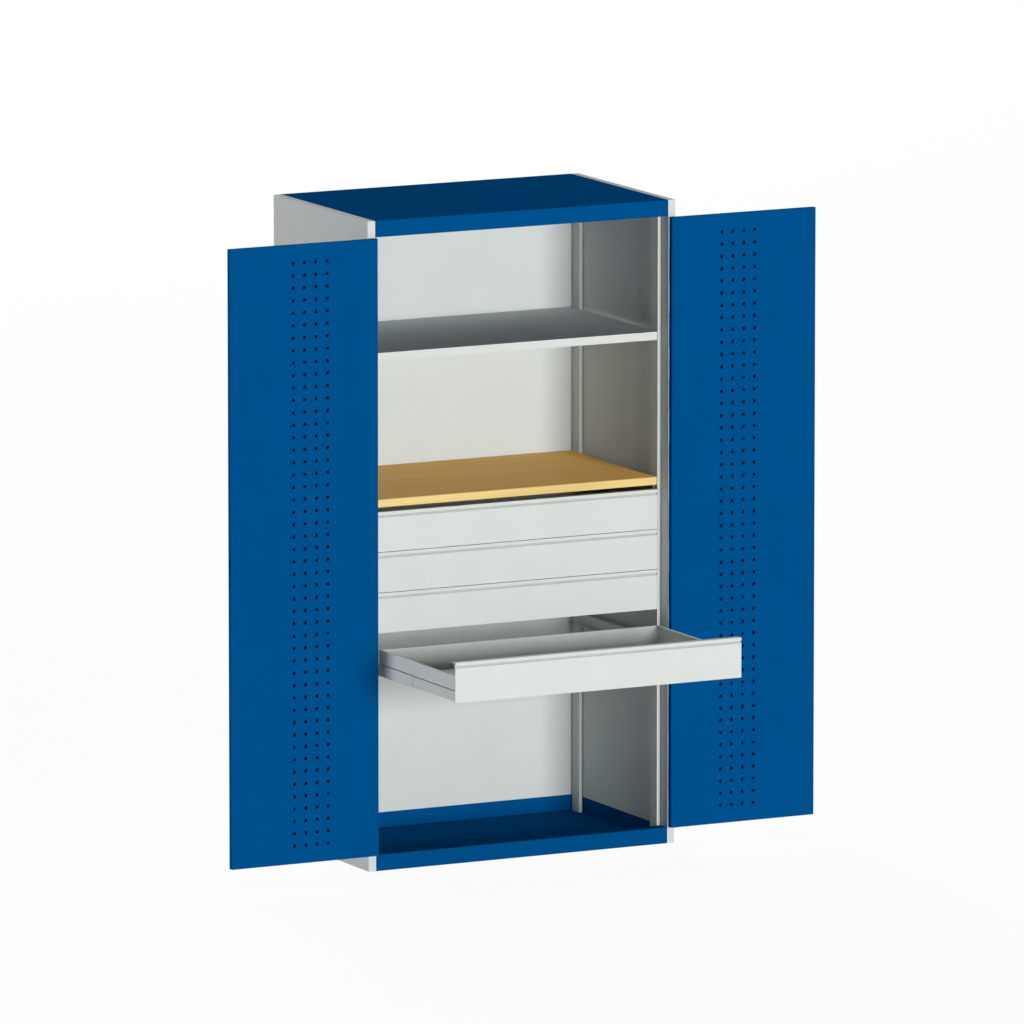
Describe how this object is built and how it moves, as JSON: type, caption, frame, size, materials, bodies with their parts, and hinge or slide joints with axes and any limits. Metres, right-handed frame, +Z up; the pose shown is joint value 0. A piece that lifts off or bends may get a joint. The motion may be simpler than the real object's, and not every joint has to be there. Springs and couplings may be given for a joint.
{
  "type": "hinged door cabinet",
  "caption": "Tall free-standing steel workshop cabinet with hinged perforated doors, a lever lock, a steel shelf, a wooden worktop and full-extension drawers.",
  "frame": {"origin": "middle of the carcass footprint, on the floor", "axes": "+Z up, -Y out of the front, +X to the right of someone facing the doors"},
  "size_m": [1.998, 1.16, 2],
  "materials": {
    "blue_paint": "satin",
    "grey_paint": "satin",
    "zinc_steel": "zinc plated",
    "beech": "clear lacquer",
    "black_plastic": "fine grain",
    "guide_plastic": "moulded"
  },
  "bodies": {
    "carcass": {"back_panel": "grey_paint", "base_fascia": "blue_paint", "base_lips": "blue_paint", "base_tray": "blue_paint", "cabinet_rails_1": "grey_paint", "cabinet_rails_2": "grey_paint", "cabinet_rails_3": "grey_paint", "cabinet_rails_4": "grey_paint", "hinge_frame_leaf_left": "zinc_steel", "hinge_frame_leaf_right": "zinc_steel", "hinge_pin_left": "zinc_steel", "hinge_pin_right": "zinc_steel", "shelf_brackets": "zinc_steel", "side_liner_left": "grey_paint", "side_liner_right": "grey_paint", "side_skin_left": "grey_paint", "side_skin_right": "grey_paint", "steel_shelf": "grey_paint", "top_fascia": "blue_paint", "top_panel": "blue_paint", "upright_front_left": "grey_paint", "upright_front_right": "grey_paint", "upright_rear_left": "grey_paint", "upright_rear_right": "grey_paint", "worktop": "beech", "worktop_brackets": "zinc_steel", "worktop_screws": "zinc_steel"},
    "door_left": {"door_skin_left": "blue_paint", "door_panel_left": "blue_paint", "hinge_door_leaf_left": "zinc_steel"},
    "door_right": {"door_skin_right": "blue_paint", "door_panel_right": "blue_paint", "hinge_door_leaf_right": "zinc_steel", "lock_plate": "black_plastic", "lock_screws": "zinc_steel", "rod_guides": "guide_plastic"},
    "handle": {"handle_lever": "black_plastic", "key_cylinder": "zinc_steel", "lock_spindle": "zinc_steel", "lock_cam": "zinc_steel"},
    "lock_rod_upper": {"lock_rod_upper": "zinc_steel"},
    "lock_rod_lower": {"lock_rod_lower": "zinc_steel"},
    "drawer_1": {"drawer_front_1": "grey_paint", "drawer_tray_1": "grey_paint", "drawer_rails_1": "grey_paint"},
    "middle_1": {"middle_rails_1": "grey_paint"},
    "drawer_2": {"drawer_front_2": "grey_paint", "drawer_tray_2": "grey_paint", "drawer_rails_2": "grey_paint"},
    "middle_2": {"middle_rails_2": "grey_paint"},
    "drawer_3": {"drawer_front_3": "grey_paint", "drawer_tray_3": "grey_paint", "drawer_rails_3": "grey_paint"},
    "middle_3": {"middle_rails_3": "grey_paint"},
    "drawer_4": {"drawer_front_4": "grey_paint", "drawer_tray_4": "grey_paint", "drawer_rails_4": "grey_paint"},
    "middle_4": {"middle_rails_4": "grey_paint"}
  },
  "joints": [
    {"name": "door_left_hinge", "type": "hinge", "parent": "carcass", "child": "door_left", "pos_m": [-0.5, -0.32775, 0], "axis": [0, 0, -1], "range_deg": [-85, 0]},
    {"name": "door_right_hinge", "type": "hinge", "parent": "carcass", "child": "door_right", "pos_m": [0.5, -0.32775, 0], "axis": [0, 0, 1], "range_deg": [-85, 0]},
    {"name": "handle_turn", "type": "hinge", "parent": "door_right", "child": "handle", "pos_m": [0.959, -0.32775, 1], "axis": [0, -1, 0], "range_deg": [0, 90]},
    {"name": "upper_rod_slide", "type": "slide", "parent": "door_right", "child": "lock_rod_upper", "axis": [0, 0, 1], "range_m": [0, 0.017]},
    {"name": "lower_rod_slide", "type": "slide", "parent": "door_right", "child": "lock_rod_lower", "axis": [0, 0, -1], "range_m": [0, 0.017]},
    {"name": "drawer_1_slide", "type": "slide", "parent": "carcass", "child": "drawer_1", "axis": [0, -1, 0], "range_m": [0, 0.554]},
    {"name": "middle_1_slide", "type": "slide", "parent": "carcass", "child": "middle_1", "axis": [0, -1, 0], "range_m": [0, 0.277]},
    {"name": "drawer_2_slide", "type": "slide", "parent": "carcass", "child": "drawer_2", "axis": [0, -1, 0], "range_m": [0, 0.554]},
    {"name": "middle_2_slide", "type": "slide", "parent": "carcass", "child": "middle_2", "axis": [0, -1, 0], "range_m": [0, 0.277]},
    {"name": "drawer_3_slide", "type": "slide", "parent": "carcass", "child": "drawer_3", "axis": [0, -1, 0], "range_m": [0, 0.554]},
    {"name": "middle_3_slide", "type": "slide", "parent": "carcass", "child": "middle_3", "axis": [0, -1, 0], "range_m": [0, 0.277]},
    {"name": "drawer_4_slide", "type": "slide", "parent": "carcass", "child": "drawer_4", "axis": [0, -1, 0], "range_m": [-0.554, 0]},
    {"name": "middle_4_slide", "type": "slide", "parent": "carcass", "child": "middle_4", "axis": [0, -1, 0], "range_m": [-0.277, 0]}
  ],
  "couplings": [
    {"joint": "upper_rod_slide", "follows": "handle_turn", "m_per_rad": 0.010804},
    {"joint": "lower_rod_slide", "follows": "handle_turn", "m_per_rad": 0.010804},
    {"joint": "middle_1_slide", "follows": "drawer_1_slide", "ratio": 0.5},
    {"joint": "middle_2_slide", "follows": "drawer_2_slide", "ratio": 0.5},
    {"joint": "middle_3_slide", "follows": "drawer_3_slide", "ratio": 0.5},
    {"joint": "middle_4_slide", "follows": "drawer_4_slide", "ratio": 0.5}
  ]
}
